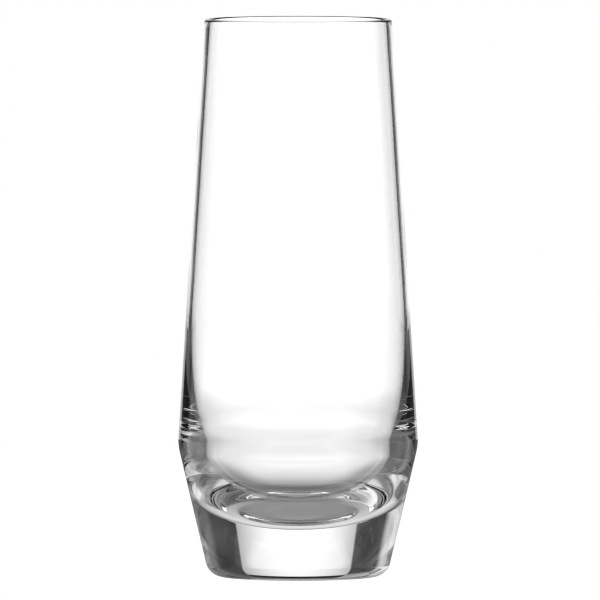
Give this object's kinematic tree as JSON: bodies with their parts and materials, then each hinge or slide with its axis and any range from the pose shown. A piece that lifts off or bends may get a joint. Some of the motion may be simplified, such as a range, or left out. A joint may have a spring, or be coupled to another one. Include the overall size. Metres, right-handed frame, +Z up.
{
  "type": "juice glass",
  "caption": "Tall clear juice glass: straight walls widen downwards to a rounded shoulder, then taper to a heavy solid foot under a rounded bowl.",
  "frame": {"origin": "centre of the foot, on the surface that the glass stands on", "axes": "+Z up the axis of the glass, from the foot to the rim; X and Y are any two level directions, because the glass is round"},
  "size_m": [0.0602, 0.0602, 0.14],
  "materials": {
    "clear_glass": "fire-polished, clear and colourless"
  },
  "bodies": {
    "root": {"tumbler": "clear_glass"}
  },
  "joints": []
}
